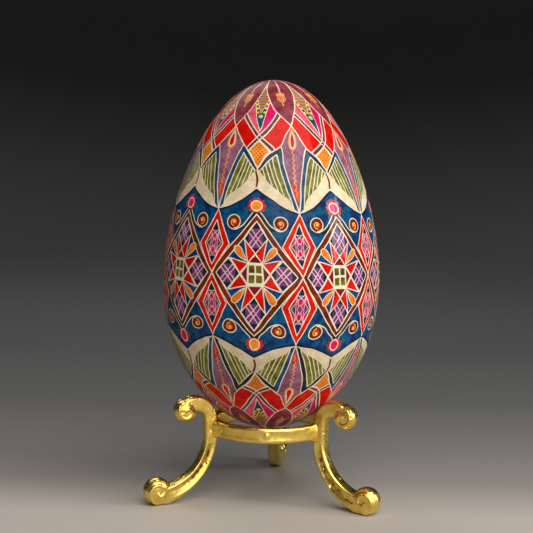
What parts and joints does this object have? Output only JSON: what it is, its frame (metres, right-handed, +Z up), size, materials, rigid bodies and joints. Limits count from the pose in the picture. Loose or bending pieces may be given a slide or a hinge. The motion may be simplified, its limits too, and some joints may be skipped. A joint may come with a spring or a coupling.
{
  "type": "decorated egg on stand",
  "caption": "Wax-resist decorated egg resting upright in a cast metal stand with a ring and scrolled legs.",
  "frame": {"origin": "on the floor plane under the axis of the stand's ring, which is also the egg's axis", "axes": "+Z up along the egg's axis from its blunt lower end to its narrow top; -Y is the front, between the left and right legs"},
  "size_m": [0.0599, 0.0622, 0.1083],
  "materials": {
    "dyed_varnish": "many-coloured dyed pattern under a satin-gloss clear varnish",
    "eggshell": "natural shell, fine-grained",
    "dried_membrane": "dried, matt, papery",
    "beeswax": "dull wax",
    "gold_plate": "cast metal with bright gold-coloured plating, small casting pits",
    "solder": "plated over, smooth fillets"
  },
  "bodies": {
    "stand": {"stand_ring": "gold_plate", "leg_left": "gold_plate", "leg_right": "gold_plate", "leg_back": "gold_plate", "solder_fillets": "solder"},
    "egg_carrier": {"shell_membrane": "dried_membrane"},
    "egg": {"egg_shell": "eggshell", "lacquer_coat": "dyed_varnish", "hole_plug": "beeswax"}
  },
  "joints": [
    {"name": "egg_lift", "type": "slide", "parent": "stand", "child": "egg_carrier", "axis": [0, 0, 1], "range_m": [0, 0.1]},
    {"name": "egg_turn", "type": "hinge", "parent": "egg_carrier", "child": "egg", "pos_m": [0, 0, 0.018], "axis": [0, 0, 1], "continuous": true}
  ]
}
